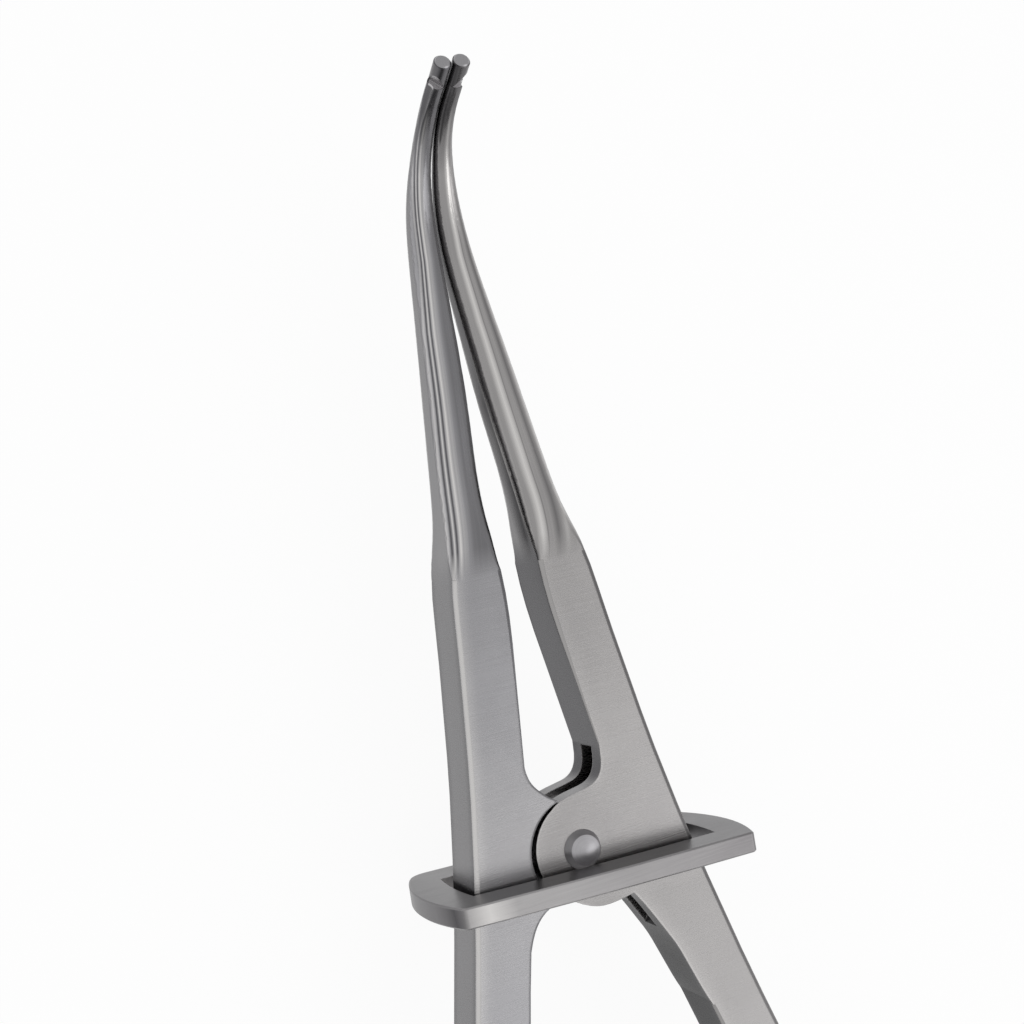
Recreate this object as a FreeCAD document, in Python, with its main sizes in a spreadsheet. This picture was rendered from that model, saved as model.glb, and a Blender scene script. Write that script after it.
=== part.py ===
# Rubber dam clamp forceps, reverse action: squeezing the handles spreads the tips.
# Millimetres. The forceps lies flat: +Y runs from the handles to the tips, +X is the right arm's side,
# +Z is the side that the tips bend towards.
import FreeCAD, Part
import math
import os
import Sketcher

V = FreeCAD.Vector

os.makedirs("parts", exist_ok=True)
doc = FreeCAD.newDocument("forceps")

# Driving sizes
SIZES = {
    # both arms
    "ArmThickness": 6.5,
    "HandleEndThickness": 4.6,
    "EdgeBevelWidth": 0.48,
    "JointBevelWidth": 0.12,
    "EdgeBevelDepth": 0.2,
    "HandleReach": 93.75,
    "HandleRound": 2.0,
    "HandleTaperReach": 20.0,
    # beaks
    "BeakStraightReach": 59.3,
    "BeakBendRadius": 14.4,
    "BeakBendAngle": 67.0,
    "BeakStraightTip": 2.1,
    "BeakTipRadius": 0.86,
    "BeakGap": 0.07,
    "PinRadius": 0.83,
    "PinLength": 2.8,
    "PinInset": 0.03,
    "PinBevel": 0.2,
    "NotchDepth": 0.72,
    "NotchSlope": 1.55,
    "NotchTurn": 42.0,
    "ScoopRadius": 0.75,
    "ScoopDepth": 0.28,
    "ScoopLength": 7.2,
    "ScoopTurn": 24.0,
    # box joint and rivet
    "TongueThickness": 2.4,
    "TongueRadius": 4.9,
    "JointSideGap": 0.06,
    "CheekRadius": 4.88,
    "CheekCrown": 0.2,
    "CheekGap": 0.48,
    "SlotCutterRadius": 14.4,
    "SlotCutterDrop": 2.15,
    "SlotDepth": 9.36,
    "ShankRadius": 1.5,
    "ShankClearance": 0.03,
    "HeadRadius": 1.95,
    "HeadFaceRadius": 1.5,
    "HeadWall": 0.8,
    "HeadCrown": 0.35,
    # lock ring
    "RingHeight": 2.0,
    "RingDrop": 1.6,
    "RingLean": 3.3,
    "RingShift": 1.1,
    "RingEndWall": 2.35,
    "RingEndBulge": 1.55,
    "RingBackInset": 0.65,
    "RingBow": 0.35,
    "FrontBar": 3.65,
    "BackBar": 4.5,
    "SlotLength": 26.2,
    "SlotEndBulge": 0.35,
    "FrontPlay": 0.55,
    "BackPlay": 2.6,
    "RingBackCorner": 2.3,
    "RingFrontCorner": 0.6,
    "RingEdgeBevel": 0.15,
    # leaf springs and their screws
    "LeafThickness": 0.9,
    "LeafWidth": 3.6,
    "LeafBendRadius": 6.0,
    "LeafFootLength": 7.5,
    "LeafRollRadius": 1.2,
    "LeafRollAngle": 215.0,
    "LeafGap": 0.1,
    "LeafEndReach": 28.0,
    "SeatFromEnd": 26.5,
    "SeatDepth": 0.2,
    "SeatRelief": 0.3,
    "SeatEndGap": 0.6,
    "ScrewShankRadius": 0.8,
    "ScrewHoleClearance": 0.2,
    "ScrewShankLength": 1.5,
    "ScrewHeadRadius": 1.55,
    "ScrewHeadHeight": 0.8,
    "ScrewSlotWidth": 0.45,
    "ScrewSlotDepth": 0.4,
}

sheet = doc.addObject("Spreadsheet::Sheet", "Sizes")
for row, (name, value) in enumerate(SIZES.items(), start=1):
    sheet.set("A%d" % row, name)
    sheet.set("B%d" % row, str(value))
    sheet.setAlias("B%d" % row, name)
doc.recompute()


def size(name):
    return float(getattr(sheet, name))


half_arm = size("ArmThickness") / 2
bend = math.radians(size("BeakBendAngle"))
bend_radius = size("BeakBendRadius")
tip_straight = size("BeakStraightTip") + size("PinLength")
tip_y = size("BeakStraightReach") + bend_radius * math.sin(bend) + tip_straight * math.cos(bend)
tip_top_y = tip_y + size("PinRadius") * math.sin(bend)

# The pieces are drawn about the joint: the pivot is the origin and the arms' middle plane is Z = 0.
# This placement carries them to the part's own frame: its box is centred in X and Y, its lowest face at Z = 0.
ring_back = half_arm + size("BackPlay") + size("BackBar")
joint_place = FreeCAD.Placement(V(0, (size("HandleReach") - tip_top_y) / 2, ring_back), FreeCAD.Rotation())


def piece(label, shape):
    node = doc.addObject("Part::Feature", label)
    node.Label = label
    node.Shape = shape
    node.Placement = joint_place
    return node


def curve(points):
    spline = Part.BSplineCurve()
    spline.interpolate(points)
    return spline.toShape()


def prism(wire, low, high):
    face = Part.Face(wire)
    face.translate(V(0, 0, low))
    return face.extrude(V(0, 0, high - low))


def mirrored(shape):
    return shape.mirror(V(0, 0, 0), V(1, 0, 0))


# Bar and handle: inner and outer edge of the right arm, seen from the front, from shoulder to handle end
BAR_EDGES = [
    # reach from the pivot, inner edge, outer edge
    (28.3, 2.00, 7.12),
    (25.0, 2.04, 7.62),
    (21.0, 2.50, 8.12),
    (16.0, 3.12, 8.78),
    (12.5, 3.62, 9.27),
    (9.5, 4.00, 9.70),
    (3.0, 4.95, 10.85),
    (-4.0, 6.25, 12.22),
    (-9.0, 7.75, 13.40),
    (-14.0, 8.85, 14.55),
    (-20.0, 10.35, 16.10),
]
# the handle below the taper's start keeps its shape when its length changes
HANDLE_EDGES = (
    # share of the handle's length, inner edge, outer edge
    (0.19, 13.90, 19.80),
    (0.42, 17.30, 23.70),
    (0.64, 19.50, 26.40),
    (0.83, 20.20, 27.40),
    (1.00, 19.70, 26.90),
)
taper_start = -size("HandleTaperReach")
handle_low = size("HandleRound") - size("HandleReach")
BAR_EDGES += [(taper_start + share * (handle_low - taper_start), inner, outer) for share, inner, outer in HANDLE_EDGES]
BAR_STEPS = 24


def bar_edge(y, column):
    # smooth curve through the table: a cubic between neighbours, with slopes taken across them
    rows = BAR_EDGES
    i = next(k for k in range(len(rows) - 1) if y >= rows[k + 1][0] - 1e-9)

    def slope(k):
        low = max(k - 1, 0)
        high = min(k + 1, len(rows) - 1)
        return (rows[high][column] - rows[low][column]) / (rows[high][0] - rows[low][0])

    length = rows[i + 1][0] - rows[i][0]
    t = (y - rows[i][0]) / length
    start, end = rows[i][column], rows[i + 1][column]
    return ((2 * t ** 3 - 3 * t ** 2 + 1) * start + (t ** 3 - 2 * t ** 2 + t) * length * slope(i)
            + (3 * t ** 2 - 2 * t ** 3) * end + (t ** 3 - t ** 2) * length * slope(i + 1))


def bar_half_thickness(y):
    if y > taper_start:
        return half_arm
    share = (taper_start - y) / (taper_start - handle_low)
    return half_arm + share * (size("HandleEndThickness") / 2 - half_arm)


def inner_bevel(y):
    # the bevel on the inner edge narrows towards the joint
    share = min(1, max(0, (abs(y) - 12) / 14))
    return size("JointBevelWidth") + share * (size("EdgeBevelWidth") - size("JointBevelWidth"))


def bevelled_section(y, inner, outer, half, inset=0.0):
    wide = size("EdgeBevelWidth")
    narrow = inner_bevel(y)
    deep = size("EdgeBevelDepth")
    shallow = deep * narrow / wide
    low_x = inner + inset
    high_x = outer - inset
    top = half - inset
    corners = (
        (low_x + narrow, top), (high_x - wide, top), (high_x, top - deep), (high_x, deep - top),
        (high_x - wide, -top), (low_x + narrow, -top), (low_x, shallow - top), (low_x, top - shallow),
    )
    points = [V(x, y, z) for x, z in corners]
    return Part.makePolygon(points + points[:1])


def bar():
    top_y, last_y = BAR_EDGES[0][0], BAR_EDGES[-1][0]
    heights = [top_y + (last_y - top_y) * k / BAR_STEPS for k in range(BAR_STEPS + 1)]
    sections = [bevelled_section(y, bar_edge(y, 1), bar_edge(y, 2), bar_half_thickness(y)) for y in heights]
    body = Part.makeLoft(sections, True, False)
    # rounded handle end
    rounding = size("HandleRound")
    inner, outer = BAR_EDGES[-1][1:]
    nose = [sections[-1]]
    for angle in (30, 60, 80):
        turn = math.radians(angle)
        inset = rounding * (1 - math.cos(turn))
        nose.append(bevelled_section(last_y - rounding * math.sin(turn), inner, outer, bar_half_thickness(last_y), inset))
    end = Part.makeLoft(nose, True, True)
    return body.fuse(end)


def spine(reach):
    # point and direction on the beak's centre line, at a length measured along it from the pivot
    straight = size("BeakStraightReach")
    if reach <= straight:
        return straight - (straight - reach), 0.0, 0.0
    turn = (reach - straight) / bend_radius
    if turn <= bend:
        return straight + bend_radius * math.sin(turn), bend_radius * (1 - math.cos(turn)), turn
    rest = reach - straight - bend_radius * bend
    y = straight + bend_radius * math.sin(bend) + rest * math.cos(bend)
    z = bend_radius * (1 - math.cos(bend)) + rest * math.sin(bend)
    return y, z, bend


def rounded_section(reach, centre, width, depth, corner):
    # rounded rectangle across the beak's centre line
    y, z, turn = spine(reach)
    across = V(1, 0, 0)
    front = V(0, -math.sin(turn), math.cos(turn))
    origin = V(centre, y, z)
    a = width / 2
    b = depth / 2
    r = min(corner, a - 0.02, b - 0.02)
    s = r * math.sqrt(0.5)

    def at(u, v):
        return origin + across * u + front * v

    edges = []
    for su, sv, first in ((1, 1, True), (1, -1, False), (-1, -1, True), (-1, 1, False)):
        cu = su * (a - r)
        cv = sv * (b - r)
        on_side = at(su * a, cv)
        on_face = at(cu, sv * b)
        middle = at(cu + su * s, cv + sv * s)
        start, stop = (on_face, on_side) if first else (on_side, on_face)
        edges.append(Part.Arc(start, middle, stop).toShape())
    closed = []
    for edge, following in zip(edges, edges[1:] + edges[:1]):
        closed.append(edge)
        closed.append(Part.makeLine(edge.lastVertex(True).Point, following.firstVertex(True).Point))
    return Part.Wire(closed)


bend_end = size("BeakStraightReach") + bend_radius * bend
beak_end = bend_end + size("BeakStraightTip")
tip_round = size("BeakTipRadius")
tip_centre = size("BeakGap") + tip_round
shoulder, shoulder_inner, shoulder_outer = BAR_EDGES[0]
# Beak: reach along the centre line, centre in X, width, depth, corner radius
BEAK_STATIONS = (
    (shoulder, (shoulder_inner + shoulder_outer) / 2, shoulder_outer - shoulder_inner, size("ArmThickness"), 0.30),
    (29.7, 4.50, 4.98, 6.42, 0.68),
    (31.3, 4.30, 4.78, 6.18, 1.05),
    (33.5, 4.07, 4.42, 5.75, 1.36),
    (37.0, 3.76, 4.14, 5.20, 1.50),
    (44.0, 3.01, 3.94, 4.80, 1.50),
    (52.0, 2.26, 3.48, 4.20, 1.40),
    (59.5, 1.66, 2.98, 3.40, 1.27),
    (64.1, 1.42, 2.56, 2.80, 1.13),
    (68.6, 1.16, 2.04, 2.16, 1.00),
    (72.0, tip_centre + 0.04, 1.80, 1.86, 0.88),
    (bend_end, tip_centre, 2 * tip_round, 2 * tip_round, tip_round),
    (beak_end, tip_centre, 2 * tip_round, 2 * tip_round, tip_round),
)


def beak_round(reach):
    # centre in X and half width of the beak, between the stations
    for low, high in zip(BEAK_STATIONS, BEAK_STATIONS[1:]):
        if reach <= high[0]:
            share = (reach - low[0]) / (high[0] - low[0])
            return low[1] + share * (high[1] - low[1]), (low[2] + share * (high[2] - low[2])) / 2
    return tip_centre, tip_round


def beak():
    # the drawn-out beak, its tip with the clamp pin, the notch behind the pin and the scooped side
    shape = Part.makeLoft([rounded_section(*station) for station in BEAK_STATIONS], True, False)
    axis = V(0, math.cos(bend), math.sin(bend))
    front = V(0, -math.sin(bend), math.cos(bend))

    def across(angle):
        # direction across the tip, turned from its outer side towards its front
        turn = math.radians(angle)
        return V(math.cos(turn), 0, 0) + front * math.sin(turn)

    pin_radius = size("PinRadius")
    pin_x = size("BeakGap") + size("PinInset") + pin_radius
    pin_end = V(pin_x, tip_y, spine(beak_end + size("PinLength"))[1])
    step = pin_end - axis * size("PinLength")
    overlap = 0.3
    bevel = size("PinBevel")
    shaft = Part.makeCylinder(pin_radius, size("PinLength") + overlap - bevel, step - axis * overlap, axis)
    crown = Part.makeCone(pin_radius, pin_radius - bevel, bevel, pin_end - axis * bevel, axis)
    shape = shape.fuse([shaft, crown])
    # notch that holds the clamp's bow, turned to the front: a square step and a sloping face above it
    outward = across(size("NotchTurn"))
    chord = across(size("NotchTurn") + 90)
    deepest = step + outward * (pin_radius - size("NotchDepth"))
    rise = size("NotchSlope") / size("NotchDepth")
    reach_out = 2 * pin_radius
    corners = [deepest, deepest + outward * reach_out, deepest + outward * reach_out + axis * rise * reach_out]
    wedge = Part.Face(Part.makePolygon([p - chord * reach_out for p in corners + corners[:1]]))
    shape = shape.cut(wedge.extrude(chord * (2 * reach_out)))
    # groove ground along the outer side below the notch, running out in the bend
    scoop_radius = size("ScoopRadius")
    length = size("ScoopLength")
    places = []
    for share in (-0.08, 0.46, 1.0):
        reach = beak_end - share * length
        y, z, turn = spine(reach)
        side = math.radians(size("ScoopTurn"))
        normal = V(math.cos(side), -math.sin(side) * math.sin(turn), math.sin(side) * math.cos(turn))
        centre, radius = beak_round(reach)
        depth = size("ScoopDepth") * (1 - max(0, share)) - 0.02 * share
        places.append(V(centre, y, z) + normal * (radius + scoop_radius - depth))
    path = Part.Arc(*places)
    first = path.FirstParameter
    ring = Part.Wire([Part.Circle(path.value(first), V(*path.tangent(first)[0]), scoop_radius).toShape()])
    scoop = Part.Wire([path.toShape()]).makePipeShell([ring], True, False)
    return shape.cut(scoop)


def blank():
    # what the two arms share, drawn for the right-hand one
    shape = bar().fuse(beak())
    hole = Part.makeCylinder(size("ShankRadius") + size("ShankClearance"), 3 * half_arm, V(0, 0, -1.5 * half_arm))
    shape = shape.cut(hole)
    # flat seat for the spring's foot, deeper where the leaf leaves it, and the screw's hole
    thick = size("ArmThickness")
    wide = bar_edge(seat_top, 2)
    seat = Part.makeBox(wide, seat_top - seat_low, thick, V(seat_x - wide, seat_low, -half_arm))
    relief = Part.makeBox(wide, relief_length, thick, V(seat_x + size("SeatRelief") - wide, seat_top, -half_arm))
    screw_hole = Part.makeCylinder(
        size("ScrewShankRadius") + size("ScrewHoleClearance"), size("ScrewShankLength") + size("ScrewHoleClearance"),
        V(seat_x, screw_y, 0), V(1, 0, 0))
    return shape.cut([seat, relief, screw_hole])


# the seat's level follows the handle's inner edge, so that the foot lies in it over its whole length
seat_top = size("SeatFromEnd") - size("HandleReach")
seat_low = seat_top - size("LeafFootLength") - size("SeatEndGap")
seat_x = max(bar_edge(seat_top, 1), bar_edge(seat_low, 1)) + size("SeatDepth")
relief_length = 0.9 * size("LeafBendRadius")
screw_y = seat_top - size("LeafFootLength") / 2 - 0.4
common = blank()

half_tongue = size("TongueThickness") / 2
half_slot = half_tongue + size("JointSideGap")
cheek_radius = size("CheekRadius")
hole_tool = Part.makeCylinder(size("ShankRadius") + size("ShankClearance"), 3 * half_arm, V(0, 0, -1.5 * half_arm))


BOSS_TOP = 9.5
BOSS_LOW = -19.0
# the bosses' outlines start this far inside the bar's inner edge
BOSS_SINK = 0.08
JOIN_TOLERANCE = 0.003


def on_circle(radius, angle):
    return V(radius * math.cos(math.radians(angle)), radius * math.sin(math.radians(angle)), 0)


def through(points):
    return curve([V(x, y, 0) for x, y in points])


def right_boss():
    # rounded cheek about the rivet, the curve that closes the window above it and the crotch below it
    crown_start = on_circle(cheek_radius + size("CheekCrown"), 116)
    low_start = on_circle(cheek_radius, 228)
    top = (bar_edge(BOSS_TOP, 1) + BOSS_SINK, BOSS_TOP)
    crotch = (4.35, -5.66)
    foot = (bar_edge(BOSS_LOW, 1) + BOSS_SINK, BOSS_LOW)
    window = through([top, (3.92, 7.9), (3.64, 6.95), (3.15, 6.25), (2.45, 5.82), (1.6, 5.62), (-0.4, 5.32),
                      (-1.35, 5.05), crown_start[:2]])
    cheek = Part.Arc(crown_start, on_circle(cheek_radius, 165), low_start).toShape()
    lobe = through([low_start[:2], (-1.25, -5.1), (0.6, -5.85), (2.3, -5.92), crotch])
    handle = through([crotch, (5.5, -7.6), (6.6, -9.75), (7.6, -11.8), (8.4, -14.0), foot])
    inside = [V(foot[0], foot[1], 0), V(12.0, BOSS_LOW, 0), V(7.0, BOSS_TOP, 0), V(top[0], top[1], 0)]
    closing = [Part.makeLine(p, q) for p, q in zip(inside, inside[1:])]
    return prism(Part.Wire([window, cheek, lobe, handle] + closing), -half_arm, half_arm)


def left_boss():
    # shoulder that ends in the V of the window, and the tongue that enters the other arm
    tongue = size("TongueRadius")
    top = on_circle(tongue, 100)
    bottom = on_circle(tongue, 260)
    edge = (-bar_edge(BOSS_TOP, 1) - BOSS_SINK, BOSS_TOP)
    notch = (-2.22, 5.76)
    corner = (-4.2, -4.35)
    foot = (-bar_edge(-9, 1) - BOSS_SINK, -9)
    window = through([edge, (-4.0, 8.5), (-3.78, 7.7), (-3.28, 6.88), notch])
    end = Part.Arc(bottom, on_circle(tongue, 0), top).toShape()
    handle = through([corner, (-5.2, -4.8), (-6.2, -5.7), (-7.0, -7.0), foot])
    straight = [V(foot[0], foot[1], 0), V(-10.5, -9.0, 0), V(-7.0, BOSS_TOP, 0), V(edge[0], edge[1], 0)]
    lines = [Part.makeLine(p, q) for p, q in zip(straight, straight[1:])]
    lines += [Part.makeLine(V(notch[0], notch[1], 0), top), Part.makeLine(bottom, V(corner[0], corner[1], 0))]
    wire = Part.Wire(Part.__sortEdges__([window, end, handle] + lines))
    return prism(wire, -half_arm, half_arm)


# Right arm: slotted half of the box joint
cutter_x = size("SlotDepth") - size("SlotCutterRadius")
slot = Part.makeCylinder(size("SlotCutterRadius"), 2 * half_slot, V(cutter_x, -size("SlotCutterDrop"), -half_slot))
right_arm = piece("right_arm", common.fuse([right_boss()], JOIN_TOLERANCE).cut([slot, hole_tool]).removeSplitter())

# Left arm: tongue half, with a round recess on each face for the other arm's cheeks
recess_radius = cheek_radius + size("CheekGap")
recess_depth = half_arm - half_tongue
recesses = [
    Part.makeCylinder(recess_radius, recess_depth + 1, V(0, 0, half_tongue)),
    Part.makeCylinder(recess_radius, recess_depth + 1, V(0, 0, -half_tongue - recess_depth - 1)),
]
left_arm = piece("left_arm", mirrored(common).fuse([left_boss()], JOIN_TOLERANCE).cut(recesses + [hole_tool]).removeSplitter())


def plane_of(body, role):
    return next(feature for feature in body.Origin.OriginFeatures if feature.Role == role)


def new_sketch(body, name, role):
    sketch = body.newObject("Sketcher::SketchObject", name)
    sketch.AttachmentSupport = [(plane_of(body, role), "")]
    sketch.MapMode = "FlatFace"
    return sketch


def bound(sketch, constraint, expression):
    index = sketch.addConstraint(constraint)
    sketch.setExpression("Constraints[%d]" % index, expression)


def new_body(label):
    body = doc.addObject("PartDesign::Body", label)
    body.Label = label
    return body


# Pivot rivet: a shank between two turned heads, each a cone frustum with a shallow crown
def primitive(kind, name, base_z, flip=False, **sizes):
    solid = doc.addObject(kind, name)
    for key, expression in sizes.items():
        solid.setExpression(key, expression)
    turn = FreeCAD.Rotation(V(1, 0, 0), 180 if flip else 0)
    solid.Placement = FreeCAD.Placement(V(0, 0, -base_z if flip else base_z), turn)
    return solid


wall_top = half_arm + size("HeadWall")
crown_radius = "((Sizes.HeadFaceRadius ^ 2 + Sizes.HeadCrown ^ 2) / (2 * Sizes.HeadCrown))"
crown_ball = (size("HeadFaceRadius") ** 2 + size("HeadCrown") ** 2) / (2 * size("HeadCrown"))
crown_centre = wall_top + size("HeadCrown") - crown_ball
rivet_parts = [primitive("Part::Cylinder", "rivet_shank", -half_arm, Radius="Sizes.ShankRadius", Height="Sizes.ArmThickness")]
for end, flip in (("front", False), ("back", True)):
    rivet_parts.append(primitive(
        "Part::Cone", "rivet_head_" + end, half_arm, flip,
        Radius1="Sizes.HeadRadius", Radius2="Sizes.HeadFaceRadius", Height="Sizes.HeadWall"))
    rivet_parts.append(primitive(
        "Part::Sphere", "rivet_crown_" + end, crown_centre, flip,
        Radius=crown_radius, Angle1="asin(1 - Sizes.HeadCrown / %s)" % crown_radius))
rivet = doc.addObject("Part::MultiFuse", "pivot_rivet")
rivet.Label = "pivot_rivet"
rivet.Shapes = rivet_parts
rivet.Refine = True
rivet.Placement = joint_place


def barrel_outline(sketch, front, back, front_z, back_z, bulge):
    # closed outline with a bowed front edge, bulging ends and a straight back edge, each corner bound to its size
    f, front_expression = front
    b, back_expression = back
    zf, zf_expression = front_z
    zb, zb_expression = back_z
    middle_x = max(f, b) + bulge
    middle_z = (zf + zb) / 2
    front_edge = sketch.addGeometry(Part.Arc(V(f, zf, 0), V(0, zf + size("RingBow"), 0), V(-f, zf, 0)))
    right_end = sketch.addGeometry(Part.Arc(V(b, zb, 0), V(middle_x, middle_z, 0), V(f, zf, 0)))
    back_edge = sketch.addGeometry(Part.LineSegment(V(b, zb, 0), V(-b, zb, 0)))
    left_end = sketch.addGeometry(Part.Arc(V(-f, zf, 0), V(-middle_x, middle_z, 0), V(-b, zb, 0)))
    for one, one_end, two, two_end in (
            (front_edge, 1, right_end, 2), (front_edge, 2, left_end, 1),
            (right_end, 1, back_edge, 1), (left_end, 2, back_edge, 2)):
        sketch.addConstraint(Sketcher.Constraint("Coincident", one, one_end, two, two_end))
    for edge, end, x, x_expression, z, z_expression in (
            (front_edge, 1, f, front_expression, zf, zf_expression),
            (front_edge, 2, -f, "-(%s)" % front_expression, zf, zf_expression),
            (back_edge, 1, b, back_expression, zb, zb_expression),
            (back_edge, 2, -b, "-(%s)" % back_expression, zb, zb_expression)):
        bound(sketch, Sketcher.Constraint("DistanceX", -1, 1, edge, end, x), x_expression)
        bound(sketch, Sketcher.Constraint("DistanceY", -1, 1, edge, end, z), z_expression)
    for edge in (front_edge, right_end, left_end):
        sketch.addConstraint(Sketcher.Constraint("Radius", edge, sketch.Geometry[edge].Radius))


# Lock ring: a flat frame that slides along both arms just below the rivet
ring = new_body("lock_ring")
slot_front = half_arm + size("FrontPlay")
slot_back = -half_arm - size("BackPlay")
ring_front = slot_front + size("FrontBar")
rim = new_sketch(ring, "ring_rim", "XZ_Plane")
half_slot_length = size("SlotLength") / 2
half_rim_front = half_slot_length + size("RingEndWall")
front_length = (half_rim_front, "Sizes.SlotLength / 2 + Sizes.RingEndWall")
back_length = (half_rim_front - size("RingBackInset"), "Sizes.SlotLength / 2 + Sizes.RingEndWall - Sizes.RingBackInset")
barrel_outline(
    rim, front_length, back_length,
    (ring_front, "Sizes.ArmThickness / 2 + Sizes.FrontPlay + Sizes.FrontBar"),
    (-ring_back, "-(Sizes.ArmThickness / 2 + Sizes.BackPlay + Sizes.BackBar)"),
    size("RingEndBulge"))
plate = ring.newObject("PartDesign::Pad", "ring_plate")
plate.Profile = rim
plate.setExpression("Length", "Sizes.RingHeight")
window_sketch = new_sketch(ring, "ring_slot", "XZ_Plane")
slot_length = (half_slot_length, "Sizes.SlotLength / 2")
barrel_outline(
    window_sketch, slot_length, slot_length,
    (slot_front, "Sizes.ArmThickness / 2 + Sizes.FrontPlay"),
    (slot_back, "-(Sizes.ArmThickness / 2 + Sizes.BackPlay)"),
    size("SlotEndBulge"))
opening = ring.newObject("PartDesign::Pocket", "ring_opening")
opening.Profile = window_sketch
opening.Type = 1
opening.Midplane = True
doc.recompute()


def upright_edges(shape, test):
    names = []
    for number, edge in enumerate(shape.Edges, start=1):
        ends = [vertex.Point for vertex in edge.Vertexes]
        if len(ends) == 2 and abs(ends[0].x - ends[1].x) + abs(ends[0].z - ends[1].z) < 1e-6 and test(ends[0]):
            names.append("Edge%d" % number)
    return names


back_corners = ring.newObject("PartDesign::Fillet", "ring_back_corners")
back_corners.Base = (opening, upright_edges(opening.Shape, lambda p: p.z < slot_back - 1))
back_corners.setExpression("Radius", "Sizes.RingBackCorner")
doc.recompute()
front_corners = ring.newObject("PartDesign::Fillet", "ring_front_corners")
front_corners.Base = (back_corners, upright_edges(back_corners.Shape, lambda p: p.z > slot_front + 1))
front_corners.setExpression("Radius", "Sizes.RingFrontCorner")
doc.recompute()


def rim_edges(shape, height):
    names = []
    for number, edge in enumerate(shape.Edges, start=1):
        box = edge.BoundBox
        flat = box.YLength < 1e-6 and (abs(box.YMin) < 1e-6 or abs(box.YMin + height) < 1e-6)
        middle = edge.CenterOfMass
        outside = middle.z > slot_front + 1 or middle.z < slot_back - 1 or abs(middle.x) > half_slot_length + size("SlotEndBulge") + 0.6
        if flat and outside:
            names.append("Edge%d" % number)
    return names


edge_bevel = ring.newObject("PartDesign::Chamfer", "ring_edge_bevel")
edge_bevel.Base = (front_corners, rim_edges(front_corners.Shape, size("RingHeight")))
edge_bevel.setExpression("Size", "Sizes.RingEdgeBevel")
lean = FreeCAD.Rotation(V(0, 0, 1), -size("RingLean"))
hang = FreeCAD.Placement(V(size("RingShift"), -size("RingDrop"), 0), lean)
ring.Placement = joint_place.multiply(hang)


# Leaf springs: a foot screwed to the handle's seat, a bend, the blade, and a rolled end on the middle line
leaf_t = size("LeafThickness")
leaf_x = seat_x - leaf_t / 2
roll_radius = size("LeafRollRadius")
roll_centre = V(roll_radius + leaf_t / 2 + size("LeafGap") / 2, -size("LeafEndReach"), 0)
bend_centre = V(leaf_x - size("LeafBendRadius"), seat_top, 0)
# the blade is tangent to the bend on its right and to the roll on its left
span = roll_centre - bend_centre
turn_sum = size("LeafBendRadius") + roll_radius
blade_length = math.sqrt(span.Length ** 2 - turn_sum ** 2)
span_angle = math.atan2(span.y, span.x)
blade_angle = span_angle + math.atan2(turn_sum, blade_length)


def leaf_profile(sketch):
    # the strip's two sides, run up one and back down the other
    rolled = math.radians(size("LeafRollAngle"))
    sides = []
    for offset in (leaf_t / 2, -leaf_t / 2):
        bend_r = size("LeafBendRadius") + offset
        roll_r = roll_radius - offset
        side = V(math.cos(blade_angle - math.pi / 2), math.sin(blade_angle - math.pi / 2), 0)
        middle_turn = (blade_angle - math.pi / 2) / 2
        foot = V(leaf_x + offset, seat_top - size("LeafFootLength"), 0)
        heel = V(leaf_x + offset, seat_top, 0)
        arc_middle = bend_centre + V(math.cos(middle_turn), math.sin(middle_turn), 0) * bend_r
        blade_start = bend_centre + side * bend_r
        blade_end = roll_centre - side * roll_r
        start_turn = blade_angle + math.pi / 2
        half_roll = roll_centre + V(math.cos(start_turn - rolled / 2), math.sin(start_turn - rolled / 2), 0) * roll_r
        roll_end = roll_centre + V(math.cos(start_turn - rolled), math.sin(start_turn - rolled), 0) * roll_r
        sides.append((foot, heel, arc_middle, blade_start, blade_end, half_roll, roll_end))
    for foot, heel, arc_middle, blade_start, blade_end, half_roll, roll_end in sides:
        sketch.addGeometry(Part.LineSegment(foot, heel))
        sketch.addGeometry(Part.Arc(heel, arc_middle, blade_start))
        sketch.addGeometry(Part.LineSegment(blade_start, blade_end))
        sketch.addGeometry(Part.Arc(blade_end, half_roll, roll_end))
    sketch.addGeometry(Part.LineSegment(sides[0][-1], sides[1][-1]))
    sketch.addGeometry(Part.LineSegment(sides[0][0], sides[1][0]))


def leaf_spring():
    body = new_body("right_leaf_spring")
    side = new_sketch(body, "leaf_side", "XY_Plane")
    leaf_profile(side)
    strip = body.newObject("PartDesign::Pad", "leaf_strip")
    strip.Profile = side
    strip.Midplane = True
    strip.setExpression("Length", "Sizes.LeafWidth")
    eye = new_sketch(body, "leaf_eye", "YZ_Plane")
    eye.addGeometry(Part.Circle(V(screw_y, 0, 0), V(0, 0, 1), size("ScrewShankRadius")))
    bound(eye, Sketcher.Constraint("Radius", 0, size("ScrewShankRadius")), "Sizes.ScrewShankRadius")
    bound(eye, Sketcher.Constraint("DistanceX", -1, 1, 0, 3, screw_y),
          "Sizes.SeatFromEnd - Sizes.HandleReach - Sizes.LeafFootLength / 2 - 0.4")
    eye.addConstraint(Sketcher.Constraint("PointOnObject", 0, 3, -1))
    hole = body.newObject("PartDesign::Pocket", "leaf_hole")
    hole.Profile = eye
    hole.Type = 1
    hole.Midplane = True
    body.Placement = joint_place
    return body


right_leaf = leaf_spring()
doc.recompute()
left_leaf = piece("left_leaf_spring", mirrored(right_leaf.Tip.Shape))


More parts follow.
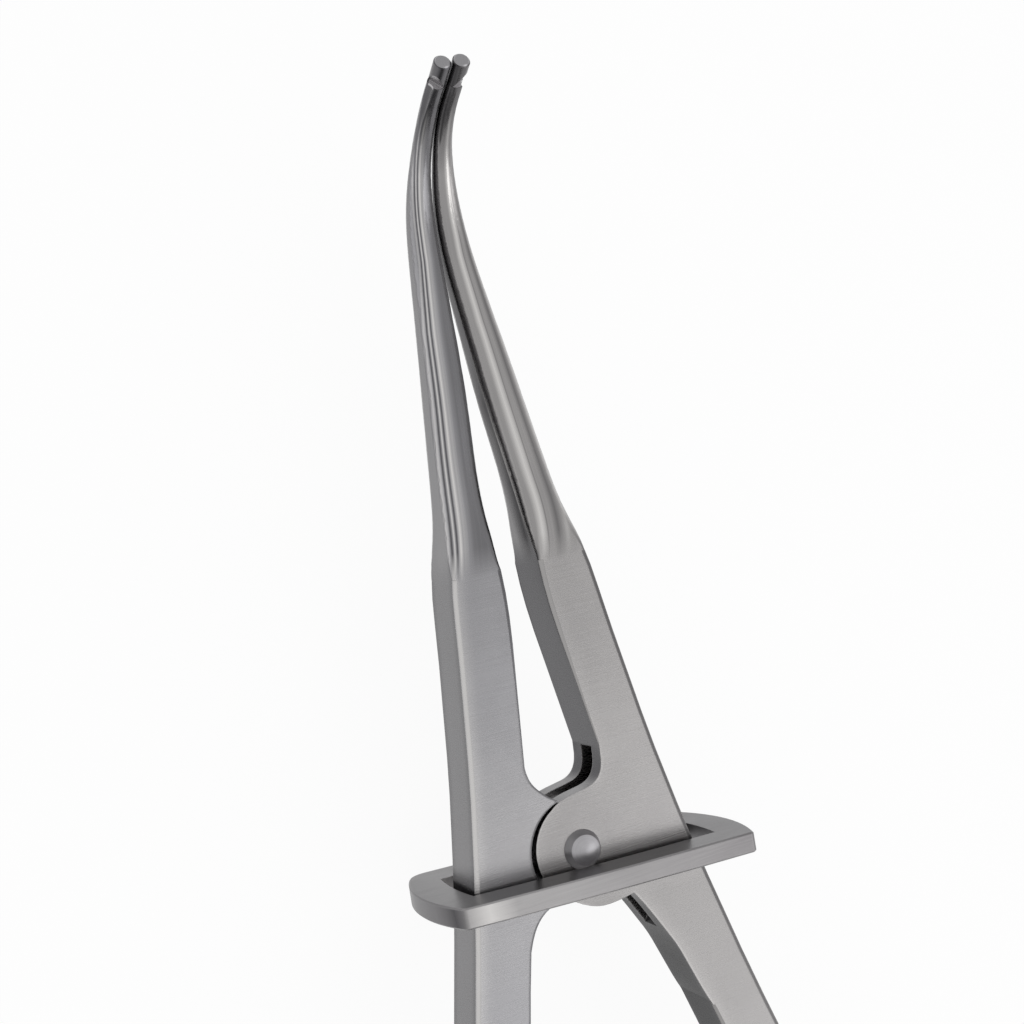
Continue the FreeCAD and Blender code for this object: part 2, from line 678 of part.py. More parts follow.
def spring_screw():
    # slotted cheese-head screw, its axis along X, head on the leaf's inner face
    under_head = seat_x - leaf_t
    into_arm = leaf_t + size("ScrewShankLength")
    along = V(1, 0, 0)
    shank = Part.makeCylinder(size("ScrewShankRadius"), into_arm, V(under_head, screw_y, 0), along)
    head_radius = size("ScrewHeadRadius")
    height = size("ScrewHeadHeight")
    rounding = height / 4
    head = Part.makeCylinder(head_radius, height - rounding, V(under_head - height + rounding, screw_y, 0), along)
    top = Part.makeCone(head_radius - rounding, head_radius, rounding, V(under_head - height, screw_y, 0), along)
    slot_width = size("ScrewSlotWidth")
    cut = Part.makeBox(size("ScrewSlotDepth"), slot_width, 3 * head_radius,
                       V(under_head - height, screw_y - slot_width / 2, -1.5 * head_radius))
    return shank.fuse([head, top]).cut(cut).removeSplitter()


screw = spring_screw()
right_screw = piece("right_spring_screw", screw)
left_screw = piece("left_spring_screw", mirrored(screw))

doc.recompute()
for node in (left_arm, right_arm, rivet, ring, left_leaf, right_leaf, left_screw, right_screw):
    bad = [state for state in node.State if state in ("Invalid", "Error")]
    if bad or node.Shape.isNull() or not node.Shape.isValid():
        raise RuntimeError("%s did not build: %s" % (node.Label, bad))
    node.Shape.exportStep("parts/%s.step" % node.Label)
    box = node.Shape.BoundBox
    print("%-20s solids %d volume %8.1f  X %.2f..%.2f  Y %.2f..%.2f  Z %.2f..%.2f" % (
        node.Label, len(node.Shape.Solids), node.Shape.Volume, box.XMin, box.XMax, box.YMin, box.YMax, box.ZMin, box.ZMax))
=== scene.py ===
import math

import bpy
from mathutils import Matrix, Vector


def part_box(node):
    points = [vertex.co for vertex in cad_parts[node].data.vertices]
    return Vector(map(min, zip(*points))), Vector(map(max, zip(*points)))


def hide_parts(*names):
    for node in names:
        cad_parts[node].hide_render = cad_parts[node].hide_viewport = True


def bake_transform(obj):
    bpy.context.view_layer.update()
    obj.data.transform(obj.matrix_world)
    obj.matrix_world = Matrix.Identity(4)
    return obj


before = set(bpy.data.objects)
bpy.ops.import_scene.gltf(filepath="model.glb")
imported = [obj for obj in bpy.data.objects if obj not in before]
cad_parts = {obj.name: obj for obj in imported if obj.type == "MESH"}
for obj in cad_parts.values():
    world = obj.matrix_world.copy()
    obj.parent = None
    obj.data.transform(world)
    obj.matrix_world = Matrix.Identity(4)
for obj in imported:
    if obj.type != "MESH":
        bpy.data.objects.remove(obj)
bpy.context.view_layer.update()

MM = 0.001

# Places on the part, in mm

rivet_low, rivet_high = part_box("pivot_rivet")
PIVOT_Y = (rivet_low[1] + rivet_high[1]) / 2 / MM
MID_Z = (rivet_low[2] + rivet_high[2]) / 2 / MM
SHOULDER_Y = PIVOT_Y + 28.3
TIP_ANGLE = math.radians(67)
TIP_AXIS = (0, math.cos(TIP_ANGLE), math.sin(TIP_ANGLE))
PIN_RADIUS = 0.83
PIN_INSET = 0.1
arm_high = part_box("left_arm")[1]
PIN_END = (PIN_RADIUS + PIN_INSET,
           arm_high[1] / MM - PIN_RADIUS * TIP_AXIS[2],
           arm_high[2] / MM - PIN_RADIUS * TIP_AXIS[1])
NOTCH_TOP = (-1.0, -1.2)
NOTCH_FOOT = (-3.0, -2.85)
NOTCH_ROUND = (0.78, 0.72)

# The beaks' middle line and half width: heights above the pivot, then the sizes there and what the bend takes off

BEAK_LOW, BEAK_MIDDLE, BEAK_TOP = 29, 59, 74
CENTRE_LOW, CENTRE_MIDDLE, CENTRE_DROP = 4.55, 1.66, 0.72
HALF_LOW, HALF_MIDDLE, HALF_DROP = 2.45, 1.49, 0.62

# The painted shade band on a beak's inner face: heights above the back of the beaks at its two ends, and its half
# width

BEAK_BACK, BEAK_FRONT = MID_Z - 2.0, MID_Z + 1.5
INNER_BAND_LOW, INNER_BAND_HIGH, INNER_BAND_WIDTH = 3.4, 2.5, 2.4

# Stretches along an arm, in mm above its shoulder: where a look is still nought and where it is full

BEAK_START = (-0.4, 2.5)
FLARE_STRETCH = (7.0, 0.0)
BEND_STRETCH = (24, 33)
TIP_STRETCH = (38.5, 43.5)
SCOOP_SHADE_START, SCOOP_SHADE_FULL, SCOOP_SHADE_WIDE = 40.6, 41.2, 42.6
INNER_BAND_STRETCH = (2, 16)
LOW_BEAK = (22, 16)
RIM_STRETCH = (8, 14)
BAR_RISE = (-4.0, -28.0)
EDGE_LINE_STRETCH = (-11, -7)
JOINT_MIDDLE, JOINT_REACH = -26, 14
UNDER_RING = (-31, -35)
INNER_HANDLE = (-31, -36)

# Places and half widths along the ring's front bar: its painted highlight and the painted shade at its rounded corner

RING_GLEAM_AT, RING_GLEAM_WIDTH = -11.9, 2.7
RING_CORNER_AT, RING_CORNER_WIDTH = -14.85, 0.8

# Radii over which the Bevel nodes look round a corner, in mm

CORNER_RADIUS = 0.55
WIDE_CORNER_RADIUS = 2.4
BROAD_EDGE, FINE_EDGE = 0.10, 0.08

# Colours of the steel and of the painted highlights, light and shade laid on it, linear

BLACK = (0, 0, 0, 1)
# painted highlights: glints, sheen and gleams
GLEAM = (0.88, 0.86, 0.84, 1)
# painted highlight along the edges
EDGE_HIGHLIGHT = (0.50, 0.49, 0.49, 1)
# painted shade on the faces that look sideways
SIDE_SHADE_STEEL = (0.145, 0.141, 0.146, 1)
TIP_STEEL = (0.06, 0.058, 0.063, 1)
SHADOW_STEEL = (0.07, 0.068, 0.073, 1)
# painted shade of the scoop near the tips
SCOOP_SHADE = (0.01, 0.0095, 0.0105, 1)
# painted dark reflection lines, and the painted shade at the ring's corner
DARK_LINE_SHADE = (0.05, 0.048, 0.053, 1)
# painted shade on the faces that look at the other arm
INNER_BAR_SHADE = (0.062, 0.06, 0.065, 1)
INNER_HANDLE_SHADE = (0.02, 0.0195, 0.021, 1)
INNER_BEAK_SHADE = (0.04, 0.038, 0.042, 1)
# painted shade on the left beak's rim
RIM_SHADE_STEEL = (0.14, 0.136, 0.142, 1)
# painted shade along the bars' corners
CORNER_SHADE_STEEL = (0.055, 0.053, 0.058, 1)
# painted light on the pins' ends and on the walls of the notches
PIN_END_LIGHT = (0.33, 0.325, 0.335, 1)
NOTCH_LIGHT = (0.50, 0.49, 0.50, 1)


# Materials: brushed steel built from stretched noise, with painted highlights and shade

class Nodes:
    # small helper that adds shader nodes and joins them

    def __init__(self, name):
        self.material = bpy.data.materials.new(name)
        self.material.use_nodes = True
        self.tree = self.material.node_tree
        self.tree.nodes.clear()

    def add(self, kind, inputs=None, **settings):
        node = self.tree.nodes.new(kind)
        for key, value in settings.items():
            setattr(node, key, value)
        for key, value in (inputs or {}).items():
            if isinstance(value, bpy.types.NodeSocket):
                self.tree.links.new(value, node.inputs[key])
            else:
                node.inputs[key].default_value = value
        return node

    def math(self, operation, a, b=0.0, clamp=False):
        return self.add("ShaderNodeMath", {0: a, 1: b}, operation=operation, use_clamp=clamp).outputs[0]

    def times(self, product, *factors):
        for factor in factors:
            product = self.math("MULTIPLY", product, factor)
        return product

    def plus(self, a, b):
        # a sum held between 0 and 1
        return self.math("ADD", a, b, clamp=True)

    def minus(self, a, b):
        return self.math("SUBTRACT", a, b)

    def size(self, value):
        return self.math("ABSOLUTE", value)

    def vector(self, operation, a, b=None, output="Vector"):
        inputs = {0: a} if b is None else {0: a, 1: b}
        return self.add("ShaderNodeVectorMath", inputs, operation=operation).outputs[output]

    def span(self, value, low, high, to_low=0.0, to_high=1.0):
        inputs = {"Value": value, "From Min": low, "From Max": high, "To Min": to_low, "To Max": to_high}
        return self.add("ShaderNodeMapRange", inputs, clamp=True).outputs[0]

    def span_mm(self, value, low, high, to_low=0.0, to_high=1.0):
        # span with its limits in mm
        return self.span(value, low * MM, high * MM, to_low, to_high)

    def band(self, value, middle, width):
        # 1 at the middle of a narrow band, 0 outside it
        return self.span(self.size(self.minus(value, middle)), width, 0.0)

    def mix(self, factor, a, b):
        return self.add("ShaderNodeMix", {0: factor, 2: a, 3: b}, data_type="FLOAT").outputs[0]

    def colour_mix(self, factor, a, b):
        return self.add("ShaderNodeMix", {0: factor, 6: a, 7: b}, data_type="RGBA").outputs[2]

    def split(self, vector):
        return self.add("ShaderNodeSeparateXYZ", {0: vector}).outputs

    def streaks(self, where, scale, detail=5.0, roughness=0.6):
        # noise stretched by an unequal scale, per metre along each axis
        mapping = self.add("ShaderNodeMapping", {"Vector": where, "Scale": scale})
        inputs = {"Vector": mapping.outputs[0], "Scale": 1.0, "Detail": detail, "Roughness": roughness}
        return self.add("ShaderNodeTexNoise", inputs).outputs["Fac"]

    def contrast(self, value):
        return self.span(value, 0.3, 0.7)

    def place(self):
        return self.add("ShaderNodeTexCoord").outputs["Object"]

    def own_axes(self, normal):
        # a normal along the piece's own X, Y and Z
        local = self.add("ShaderNodeVectorTransform", {0: normal}, vector_type="NORMAL",
                         convert_from="WORLD", convert_to="OBJECT")
        return self.split(local.outputs[0])

    def face_axes(self):
        return self.own_axes(self.add("ShaderNodeNewGeometry").outputs["True Normal"])

    def rounded_axes(self, radius):
        # the normal as it would be with corners rounded by the radius in mm
        return self.own_axes(self.add("ShaderNodeBevel", {"Radius": radius * MM}, samples=8).outputs[0])


class ArmNodes(Nodes):
    # nodes for an arm, with the places that its looks depend on

    def __init__(self, name, flare, drift):
        super().__init__(name)
        self.where = self.place()
        self.axes = self.split(self.where)
        self.height = self.minus(self.axes["Y"], SHOULDER_Y * MM)
        self.on_beak = self.span_mm(self.height, *BEAK_START)
        self.near_tip = self.span_mm(self.height, *TIP_STRETCH)
        front = self.span_mm(self.axes["Z"], MID_Z - 1.0, MID_Z)
        self.on_front = self.times(self.minus(1.0, self.near_tip), self.on_beak, front)
        self.outward = self.outwardness()
        self.across = self.line_place(flare, drift)

    def outwardness(self):
        # -1 on the faces that look at the other arm, 1 on those that look away from it
        normal = self.add("ShaderNodeNewGeometry").outputs["Normal"]
        return self.times(self.own_axes(normal)["X"], self.math("SIGN", self.axes["X"]))

    def beak_across(self):
        # place across a beak: -1 at its inner edge, 1 at its outer edge, the same on both arms
        y = self.minus(self.axes["Y"], PIVOT_Y * MM)

        def tapered(low, middle, drop):
            straight = self.span_mm(y, BEAK_LOW, BEAK_MIDDLE, low * MM, middle * MM)
            return self.minus(straight, self.span_mm(y, BEAK_MIDDLE, BEAK_TOP, 0.0, drop * MM))

        centre = tapered(CENTRE_LOW, CENTRE_MIDDLE, CENTRE_DROP)
        half = tapered(HALF_LOW, HALF_MIDDLE, HALF_DROP)
        return self.math("DIVIDE", self.minus(self.size(self.axes["X"]), centre), half)

    def line_place(self, flare, drift):
        # the place across, led aside by flare where the beak widens into the bar, by drift where it bends
        # and by a slight wave, so that lines drawn at one place aren't quite straight
        wave = self.times(self.minus(self.streaks(self.where, (0, 70, 0), detail=1.0), 0.5), 0.14)
        near = self.span_mm(self.height, *FLARE_STRETCH)
        across = self.minus(self.math("ADD", self.beak_across(), wave), self.times(near, near, flare))
        return self.minus(across, self.span_mm(self.height, *BEND_STRETCH, 0.0, drift))

    def line_sum(self, lines):
        # the bands (middle, width, strength) across the beak added up
        total = 0.0
        for middle, width, strength in lines:
            total = self.plus(total, self.times(self.band(self.across, middle, width), strength))
        return self.times(total, self.on_front)


def shade_sides(nodes, colour, side_colour, shade, starts=0.9, ends=0.15):
    # painted shade: darker on the faces that look sideways than on the broad front and back faces
    side = nodes.span(nodes.size(nodes.face_axes()["Z"]), starts, ends)
    return nodes.colour_mix(nodes.times(side, shade), colour, side_colour)


def edge_mask(nodes, radius):
    # 1 along the edges that get a painted highlight, 0 on the faces
    soft = nodes.add("ShaderNodeBevel", {"Radius": radius * MM}, samples=4).outputs[0]
    true = nodes.add("ShaderNodeNewGeometry").outputs["Normal"]
    return nodes.span(nodes.vector("DOT_PRODUCT", soft, true, output="Value"), 0.995, 0.86), soft


def finish_steel(nodes, colour, height, lines, cloud, rough, bump, edge_radius, edge_highlight_strength=0.3, metal=1.0):
    # colour is the metal's, with its painted light and shade, height its relief; rough is the roughness, then what
    # lines and cloud add to it;
    # edges get a painted highlight
    edge_lit, soft_normal = edge_mask(nodes, edge_radius)
    colour = nodes.colour_mix(nodes.times(edge_lit, edge_highlight_strength), colour, EDGE_HIGHLIGHT)
    roughness = nodes.math("ADD", rough[0], nodes.times(lines, rough[1]))
    roughness = nodes.math("ADD", roughness, nodes.times(cloud, rough[2]))
    relief = nodes.add("ShaderNodeBump", {"Strength": bump, "Distance": 0.02 * MM,
                                          "Height": height, "Normal": soft_normal})
    surface = nodes.add("ShaderNodeBsdfPrincipled", {
        "Base Color": colour, "Metallic": metal, "Roughness": roughness,
        "Normal": relief.outputs[0], "Specular IOR Level": 0.0})
    nodes.add("ShaderNodeOutputMaterial", {"Surface": surface.outputs[0]})
    return nodes.material


def tip_end_light_mask(nodes):
    # 1 on the faces at the tips that are painted lighter against their shade: the pins' ends and the walls of the
    # notches under them
    mirrored = nodes.add("ShaderNodeCombineXYZ", {
        "X": nodes.size(nodes.axes["X"]), "Y": nodes.axes["Y"], "Z": nodes.axes["Z"]})
    offset = nodes.vector("SUBTRACT", mirrored.outputs[0], [value * MM for value in PIN_END])
    down = nodes.vector("DOT_PRODUCT", offset, TIP_AXIS, output="Value")
    radius = nodes.vector("LENGTH", nodes.vector("CROSS_PRODUCT", offset, TIP_AXIS), output="Value")
    at_end = nodes.span_mm(down, -0.02, -0.01)
    in_notch = nodes.times(nodes.span_mm(down, *NOTCH_TOP), nodes.span_mm(down, *NOTCH_FOOT),
                           nodes.span_mm(radius, *NOTCH_ROUND))
    return at_end, in_notch


def corner_lines(nodes):
    # the bars' long corners, painted as if lit from the left: a painted highlight where they look left, with a painted
    # dark line beside them, painted shade where they look right, and a broad painted sheen beside the left-looking
    # corners; edge is how far the corner's normal has turned to the front
    on_bar = nodes.minus(1.0, nodes.on_beak)
    corner = nodes.rounded_axes(CORNER_RADIUS)
    edge = nodes.size(corner["Z"])
    on_corner = nodes.times(nodes.span(edge, 0.998, 0.95), nodes.span(edge, 0.55, 0.7), on_bar)
    bright = nodes.times(on_corner, nodes.span(corner["X"], -0.1, -0.3))
    right = nodes.times(on_corner, nodes.span(corner["X"], 0.1, 0.3))
    wide = nodes.rounded_axes(WIDE_CORNER_RADIUS)
    wide_lift = nodes.size(wide["Z"])
    face = nodes.face_axes()
    on_side = nodes.times(nodes.span(face["X"], -0.7, -0.85), nodes.span(nodes.size(face["Z"]), 0.4, 0.2))
    left = nodes.times(on_side, nodes.span(wide_lift, 0.2, 0.36), on_bar)
    dim = nodes.plus(nodes.times(left, 0.7), nodes.times(right, 0.7))
    sheen = nodes.times(on_bar, nodes.span(wide_lift, 0.6, 0.8), nodes.span(wide["X"], -0.02, -0.5))
    return bright, dim, sheen, edge


def arm_grain(nodes):
    # fine lines, across the bar and along the beak, and broad clouds
    run = nodes.add("ShaderNodeCombineXYZ", {
        "X": nodes.across, "Y": nodes.axes["Y"], "Z": nodes.times(nodes.axes["Z"], 300)})
    along = nodes.streaks(run.outputs[0], (7, 45, 1.2), roughness=0.55)
    brushed = nodes.streaks(nodes.where, (50, 9000, 900))
    fine = nodes.streaks(nodes.where, (140, 26000, 2500), detail=3.0)
    cloud = nodes.streaks(nodes.where, (90, 60, 90), detail=3.0)
    lines = nodes.mix(nodes.on_beak, nodes.mix(0.6, brushed, fine), along)
    return nodes.span(lines, 0.25, 0.75), nodes.contrast(cloud)


def arm_front(nodes, look, lines, cloud, groove_reflections):
    # the colour of the front and the back: the steel's tone, darker towards the tips, with painted light and shade
    # laid on it:
    # lighter towards and at the joint, darker under the ring, a painted shadow band, the scoop's painted shade, and
    # painted dark reflection lines and glints along the beak
    height = nodes.height
    # painted light: the bars grow lighter towards the joint
    shade = nodes.plus(nodes.mix(0.5, lines, cloud), nodes.span_mm(height, *BAR_RISE, 0.0, look["rise"]))
    shade = nodes.math("SUBTRACT", shade, nodes.times(nodes.near_tip, 0.3), clamp=True)
    # a painted shadow band across the beak's front
    in_shadow = nodes.times(nodes.span(nodes.across, 0.1, -0.2), nodes.on_front, look["shadow"])
    # the scoop's painted shade: a dark band along the beak near the tip, narrowing to a point at its lower end
    scoop_shade_width = nodes.span_mm(height, SCOOP_SHADE_START, SCOOP_SHADE_WIDE, 0.001, 0.4)
    scoop_shade = nodes.times(nodes.band(nodes.across, look["scoop_shade_at"], scoop_shade_width),
                        nodes.span_mm(height, SCOOP_SHADE_START, SCOOP_SHADE_FULL, 0.0, 0.85))
    at_joint = nodes.band(height, JOINT_MIDDLE * MM, JOINT_REACH * MM)
    colour = nodes.colour_mix(shade, look["dark"], look["light"])
    # painted shade under the ring, then a painted highlight at the joint
    for mask, tint in (
            (nodes.span_mm(height, *UNDER_RING, 0.0, look["low_shade"]), BLACK),
            (nodes.times(at_joint, look["joint_light"]), GLEAM),
            (nodes.times(nodes.near_tip, 0.76), TIP_STEEL),
            (in_shadow, SHADOW_STEEL),
            (scoop_shade, SCOOP_SHADE),
            (groove_reflections, DARK_LINE_SHADE),
            (nodes.line_sum(look["glints_at"]), GLEAM)):
        colour = nodes.colour_mix(mask, colour, tint)
    return colour


def arm_inner_faces(nodes, look, colour):
    # the faces that look at the other arm get painted shade, darkest in a band low on the right beak, and a painted
    # glint where the right beak's inner face turns to the front;
    # also given back are the masks of the bar's inner face, of that band and of the left beak's rim
    height, depth = nodes.height, nodes.axes["Z"]
    on_bar = nodes.times(nodes.span(nodes.outward, -0.3, -0.75), nodes.mix(nodes.on_beak, 0.94, 0.0))
    bar_tint = nodes.colour_mix(nodes.span_mm(height, *INNER_HANDLE), INNER_BAR_SHADE, INNER_HANDLE_SHADE)
    colour = nodes.colour_mix(on_bar, colour, bar_tint)

    on_face = nodes.times(nodes.span(nodes.outward, -0.94, -0.99), nodes.on_beak)
    low_down = nodes.times(nodes.span_mm(height, *LOW_BEAK), look["inner_shade"])
    band_depth = nodes.span_mm(height, *INNER_BAND_STRETCH, INNER_BAND_LOW * MM, INNER_BAND_HIGH * MM)
    band_depth = nodes.math("ADD", band_depth, BEAK_BACK * MM)
    dark_band = nodes.times(nodes.band(depth, band_depth, INNER_BAND_WIDTH * MM), on_face, low_down)
    towards_front = nodes.span_mm(depth, BEAK_BACK, BEAK_FRONT, 0.45, 0.95)
    face_shade = nodes.mix(low_down, nodes.times(on_face, towards_front), nodes.times(dark_band, 0.9))
    colour = nodes.colour_mix(face_shade, colour, INNER_BEAK_SHADE)

    turning = nodes.times(nodes.span(nodes.outward, -0.68, -0.85), nodes.span(nodes.outward, -0.998, -0.985),
                          nodes.on_front, look["inner_gleam"])
    colour = nodes.colour_mix(turning, colour, GLEAM)
    # painted shade on the left beak's rim, which is also made dull below
    rim = nodes.times(nodes.span(nodes.outward, -0.55, -0.8), nodes.on_front, look["rim_shade"],
                      nodes.span_mm(height, *RIM_STRETCH))
    return nodes.colour_mix(rim, colour, RIM_SHADE_STEEL), on_bar, dark_band, rim


def arm_dullness(nodes, look, edge, on_bar, dark_band, rim):
    # the inner faces are dull where their painted shade is darkest, so that they mirror less of the white surroundings
    edge_line = nodes.times(nodes.span(edge, 0.12, 0.3), nodes.span_mm(nodes.height, *EDGE_LINE_STRETCH), on_bar, 0.7)
    handle = nodes.times(on_bar, nodes.span_mm(nodes.height, *INNER_HANDLE), 0.45)
    dull = nodes.plus(nodes.plus(handle, nodes.times(dark_band, 0.6)), edge_line)
    return nodes.plus(nodes.times(dull, look["inner_shade"]), rim)


def arm_steel(name, look):
    # brushed across the bars, drawn lengthwise on the beaks, with painted dark reflection lines, pressed in slightly
    # as grooves, and painted glints along the beaks' corners;
    # painted shade and highlights on its sides, inner faces and corners
    nodes = ArmNodes(name, look["flare"], look["drift"])
    lines, cloud = arm_grain(nodes)
    groove_reflections = nodes.line_sum(look["groove_reflections_at"])
    colour = arm_front(nodes, look, lines, cloud, groove_reflections)
    # painted shade on the faces that look sideways, a little weaker on the beaks
    colour = shade_sides(nodes, colour, SIDE_SHADE_STEEL, nodes.mix(nodes.on_beak, 0.94, 0.80),
                         nodes.mix(nodes.on_beak, 0.9, 0.35), 0.05)
    colour, on_bar, dark_band, rim = arm_inner_faces(nodes, look, colour)
    bright, dim, sheen, edge = corner_lines(nodes)
    at_end, in_notch = tip_end_light_mask(nodes)
    for mask, tint in (
            (nodes.times(sheen, look["corner_gleam"] * 0.5), GLEAM),
            (dim, CORNER_SHADE_STEEL),
            (nodes.times(bright, look["corner_gleam"]), GLEAM),
            (at_end, PIN_END_LIGHT),
            (in_notch, NOTCH_LIGHT)):
        colour = nodes.colour_mix(mask, colour, tint)
    dull = arm_dullness(nodes, look, edge, on_bar, dark_band, rim)
    return finish_steel(nodes, colour, nodes.minus(lines, groove_reflections), lines, cloud, (0.19, 0.10, 0.05), 0.22, BROAD_EDGE,
                        edge_highlight_strength=0.08, metal=nodes.minus(1.0, dull))


def ring_steel():
    nodes = Nodes("ring_steel_brushed")
    where = nodes.place()
    along = nodes.streaks(where, (60, 5200, 5200))
    fine = nodes.streaks(where, (160, 14000, 14000), detail=3.0)
    lines = nodes.contrast(nodes.mix(0.45, along, fine))
    cloud = nodes.contrast(nodes.streaks(where, (70, 140, 140), detail=2.0))
    # a painted highlight: the front bar is brightest at its left end
    across = nodes.split(where)["X"]
    left = nodes.times(nodes.span_mm(across, 17, -13), nodes.span_mm(across, -15.5, -12.5, 0.45, 1.0))
    shade = nodes.math("ADD", nodes.times(nodes.mix(0.5, lines, cloud), 0.45), nodes.times(left, 0.55))
    colour = nodes.colour_mix(shade, (0.17, 0.162, 0.168, 1), (0.50, 0.49, 0.49, 1))
    # painted shade on the faces that look sideways
    colour = shade_sides(nodes, colour, (0.12, 0.117, 0.123, 1), 0.72)
    # a painted highlight beside the painted shade of the rounded corner, on the bar's outside only
    face = nodes.face_axes()
    outside = nodes.span(nodes.size(face["Y"]), 0.6, 0.3)
    gleam = nodes.band(across, RING_GLEAM_AT * MM, RING_GLEAM_WIDTH * MM)
    gleam = nodes.times(gleam, nodes.span(face["Z"], 0.5, 0.8), outside, 0.56)
    colour = nodes.colour_mix(gleam, colour, GLEAM)
    corner = nodes.times(nodes.band(across, RING_CORNER_AT * MM, RING_CORNER_WIDTH * MM), outside, 0.8)
    colour = nodes.colour_mix(corner, colour, DARK_LINE_SHADE)
    return finish_steel(nodes, colour, lines, lines, cloud, (0.26, 0.12, 0.08), 0.25, BROAD_EDGE)


def turned_steel(name, centre, axis):
    # turning marks, in rings about an axis through centre
    nodes = Nodes(name)
    where = nodes.place()
    keep = [0.0 if i == axis else 1.0 for i in range(3)]
    flat = nodes.vector("MULTIPLY", nodes.vector("SUBTRACT", where, centre), keep)
    rings = nodes.add("ShaderNodeCombineXYZ", {"X": nodes.vector("LENGTH", flat, output="Value")})
    lines = nodes.contrast(nodes.streaks(rings.outputs[0], (9000, 1, 1), detail=3.0))
    cloud = nodes.contrast(nodes.streaks(where, (500, 500, 500), detail=3.0))
    colour = nodes.colour_mix(nodes.mix(0.5, lines, cloud), (0.38, 0.373, 0.385, 1), (0.56, 0.55, 0.57, 1))
    # painted shade on the faces that look sideways
    colour = shade_sides(nodes, colour, SIDE_SHADE_STEEL, 0.82)
    return finish_steel(nodes, colour, lines, lines, cloud, (0.28, 0.10, 0.08), 0.2, FINE_EDGE)


def spring_steel():
    nodes = Nodes("spring_steel_polished")
    where = nodes.place()
    lines = nodes.contrast(nodes.streaks(where, (500, 160, 6000), detail=4.0))
    cloud = nodes.contrast(nodes.streaks(where, (120, 120, 120), detail=3.0))
    colour = nodes.colour_mix(nodes.mix(0.4, lines, cloud), (0.38, 0.38, 0.39, 1), (0.55, 0.545, 0.555, 1))
    # painted shade on the faces that look sideways
    colour = shade_sides(nodes, colour, SIDE_SHADE_STEEL, 0.62)
    return finish_steel(nodes, colour, lines, lines, cloud, (0.16, 0.10, 0.08), 0.15, FINE_EDGE)


def dress(node, material):
    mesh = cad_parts[node].data
    for index in range(max(1, len(mesh.materials))):
        if index < len(mesh.materials):
            mesh.materials[index] = material
        else:
            mesh.materials.append(material)


# the painted dark reflection lines, also pressed in as grooves, and the painted glints lie at (middle, width,
# strength) across the beak, from -1 at its inner to 1 at its outer edge

# the two arms are lit and shaded copies of one steel: the right arm's is painted lighter than the left's, and each has
# its own painted highlights and shade
LEFT_LOOK = {
    "light": (0.385, 0.381, 0.395, 1),
    "dark": (0.285, 0.281, 0.293, 1),
    "groove_reflections_at": [(0.77, 0.055, 0.85), (0.57, 0.055, 0.85)],
    "glints_at": [(0.67, 0.05, 0.8), (0.42, 0.11, 0.8), (0.25, 0.2, 0.25), (0.88, 0.07, 0.35)],
    "flare": 0.22,
    "drift": -0.12,
    "scoop_shade_at": 0.42,
    "shadow": 0.5,
    "rise": 0.4,
    "joint_light": 0.13,
    "low_shade": 0.0,
    "corner_gleam": 0.6,
    "inner_gleam": 0.0,
    "inner_shade": 0.0,
    "rim_shade": 0.75,
}
RIGHT_LOOK = {
    "light": (0.415, 0.403, 0.40, 1),
    "dark": (0.32, 0.311, 0.31, 1),
    "groove_reflections_at": [(-0.1, 0.04, 0.5), (0.38, 0.24, 0.55)],
    "glints_at": [(-0.34, 0.26, 0.7), (0.78, 0.15, 0.25)],
    "flare": -0.5,
    "drift": 0.25,
    "scoop_shade_at": -0.95,
    "shadow": 0.0,
    "rise": 0.15,
    "joint_light": 0.0,
    "low_shade": 0.16,
    "corner_gleam": 0.15,
    "inner_gleam": 0.3,
    "inner_shade": 1.0,
    "rim_shade": 0.0,
}
dress("left_arm", arm_steel("left_arm_steel", LEFT_LOOK))
dress("right_arm", arm_steel("right_arm_steel", RIGHT_LOOK))
dress("lock_ring", ring_steel())
dress("pivot_rivet", turned_steel("rivet_steel_turned", (0, PIVOT_Y * MM, MID_Z * MM), 2))


# Leaf springs and their screws: copies of the pieces, each in its own steel, shown in place of the pieces


def flexing_copy(node, name, material):
    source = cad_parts[node]
    piece = bpy.data.objects.new(name, source.data.copy())
    bpy.context.scene.collection.objects.link(piece)
    piece.matrix_world = source.matrix_world.copy()
    piece.data.materials.clear()
    piece.data.materials.append(material)
    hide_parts(node)
    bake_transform(piece)


leaf_material = spring_steel()
for side in ("left", "right"):
    screw_low, screw_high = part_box(side + "_spring_screw")
    middle = (screw_low + screw_high) / 2
    screw_material = turned_steel(side + "_screw_steel_turned", (0, middle.y, middle.z), 0)
    flexing_copy(side + "_leaf_spring", side + "_leaf", leaf_material)
    flexing_copy(side + "_spring_screw", side + "_screw", screw_material)


# Floor, light and camera

FLOOR_SIZE = 3.0
FLOOR_DROP = 0.0002
FLOOR_WHITE = 0.93


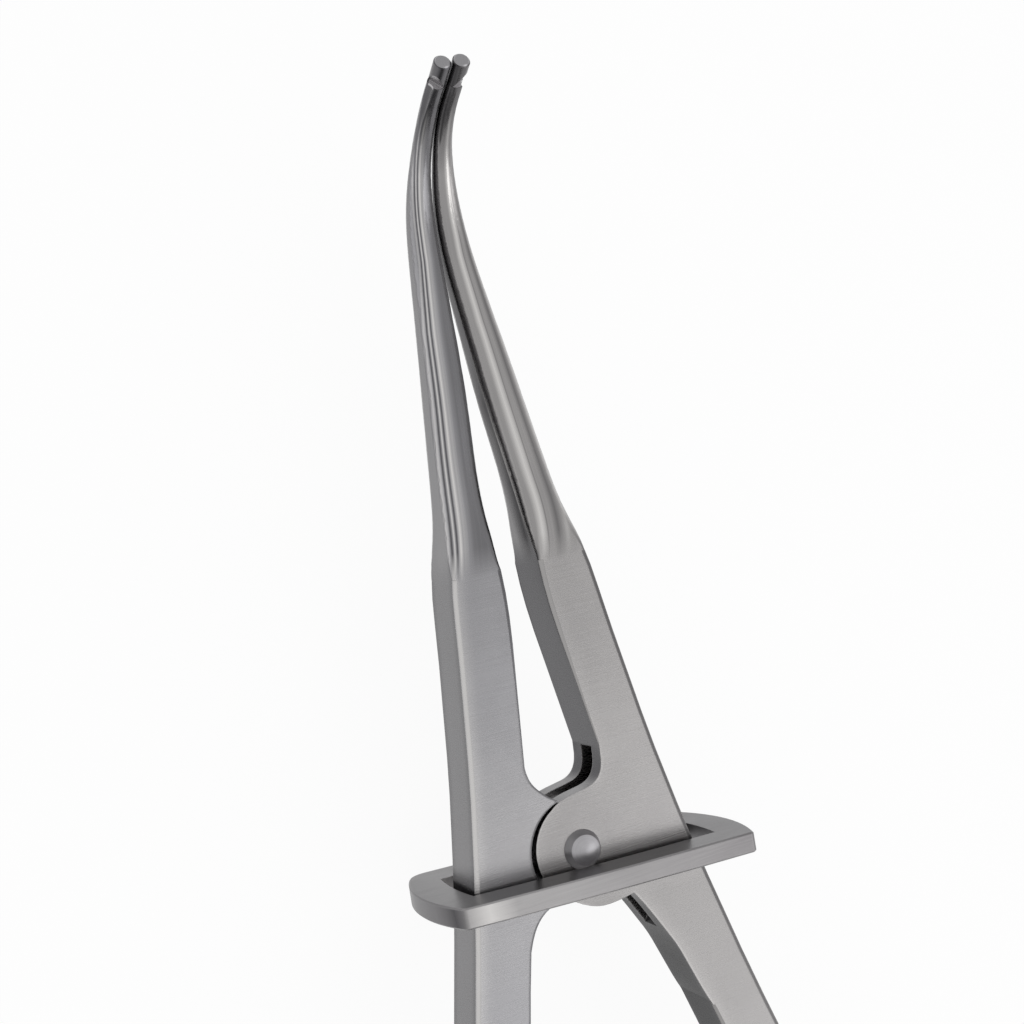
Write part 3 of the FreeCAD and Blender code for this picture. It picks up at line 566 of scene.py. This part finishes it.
def flat_floor():
    # matt white, and plain white to the camera and in mirror images
    bpy.ops.mesh.primitive_plane_add(size=FLOOR_SIZE, location=(0, 0, -FLOOR_DROP))
    floor = bpy.context.object
    floor.name = "floor"
    nodes = Nodes("floor_white")
    speckle = nodes.contrast(nodes.streaks(nodes.place(), (30, 30, 30), detail=2.0))
    colour = nodes.colour_mix(speckle, (0.93, 0.93, 0.93, 1), (0.95, 0.95, 0.95, 1))
    matt = nodes.add("ShaderNodeBsdfPrincipled", {"Base Color": colour, "Roughness": 0.8})
    white = nodes.add("ShaderNodeEmission", {"Color": (1, 1, 1, 1), "Strength": 1.0})
    rays = nodes.add("ShaderNodeLightPath").outputs
    seen = nodes.math("MAXIMUM", rays["Is Camera Ray"], rays["Is Glossy Ray"])
    seen = nodes.math("MAXIMUM", seen, rays["Is Transmission Ray"])
    surface = nodes.add("ShaderNodeMixShader", {
        0: nodes.times(seen, FLOOR_WHITE), 1: matt.outputs[0], 2: white.outputs[0]})
    nodes.add("ShaderNodeOutputMaterial", {"Surface": surface.outputs[0]})
    floor.data.materials.append(nodes.material)


def world_light(strength):
    world = bpy.data.worlds.new("studio")
    world.use_nodes = True
    background = world.node_tree.nodes["Background"]
    background.inputs["Color"].default_value = (1.0, 1.0, 1.0, 1)
    background.inputs["Strength"].default_value = strength
    bpy.context.scene.world = world


def soft_light(name, location, target, width, height, power):
    data = bpy.data.lights.new(name, "AREA")
    data.shape = "RECTANGLE"
    data.size = width
    data.size_y = height
    data.energy = power
    light = bpy.data.objects.new(name, data)
    bpy.context.scene.collection.objects.link(light)
    light.location = location
    light.rotation_euler = (Vector(target) - Vector(location)).to_track_quat("-Z", "Y").to_euler()


flat_floor()
world_light(0.75)
soft_light("key", (0.75, -0.5, 0.75), (0, 0.03, 0.01), 1.0, 1.0, 2.8)

# the camera's axes and its place in mm, from the fit to the photo
RIGHT = Vector((0.904581, -0.213937, 0.368732))
UP = Vector((0.202255, 0.976788, 0.070554))
BACK = Vector((-0.375267, 0.010756, 0.926854))
CAMERA_PLACE = Vector((-52.118, PIVOT_Y + 34.954, 143.141))

camera_data = bpy.data.cameras.new("photo_camera")
camera_data.lens = 50.70
camera_data.sensor_width = 36.0
camera_data.clip_start = 0.005
camera = bpy.data.objects.new("photo_camera", camera_data)
bpy.context.scene.collection.objects.link(camera)
turn = Matrix((RIGHT, UP, BACK)).transposed()
camera.matrix_world = Matrix.Translation(CAMERA_PLACE * MM) @ turn.to_4x4()
bpy.context.scene.camera = camera
bpy.context.scene.view_settings.view_transform = "Standard"
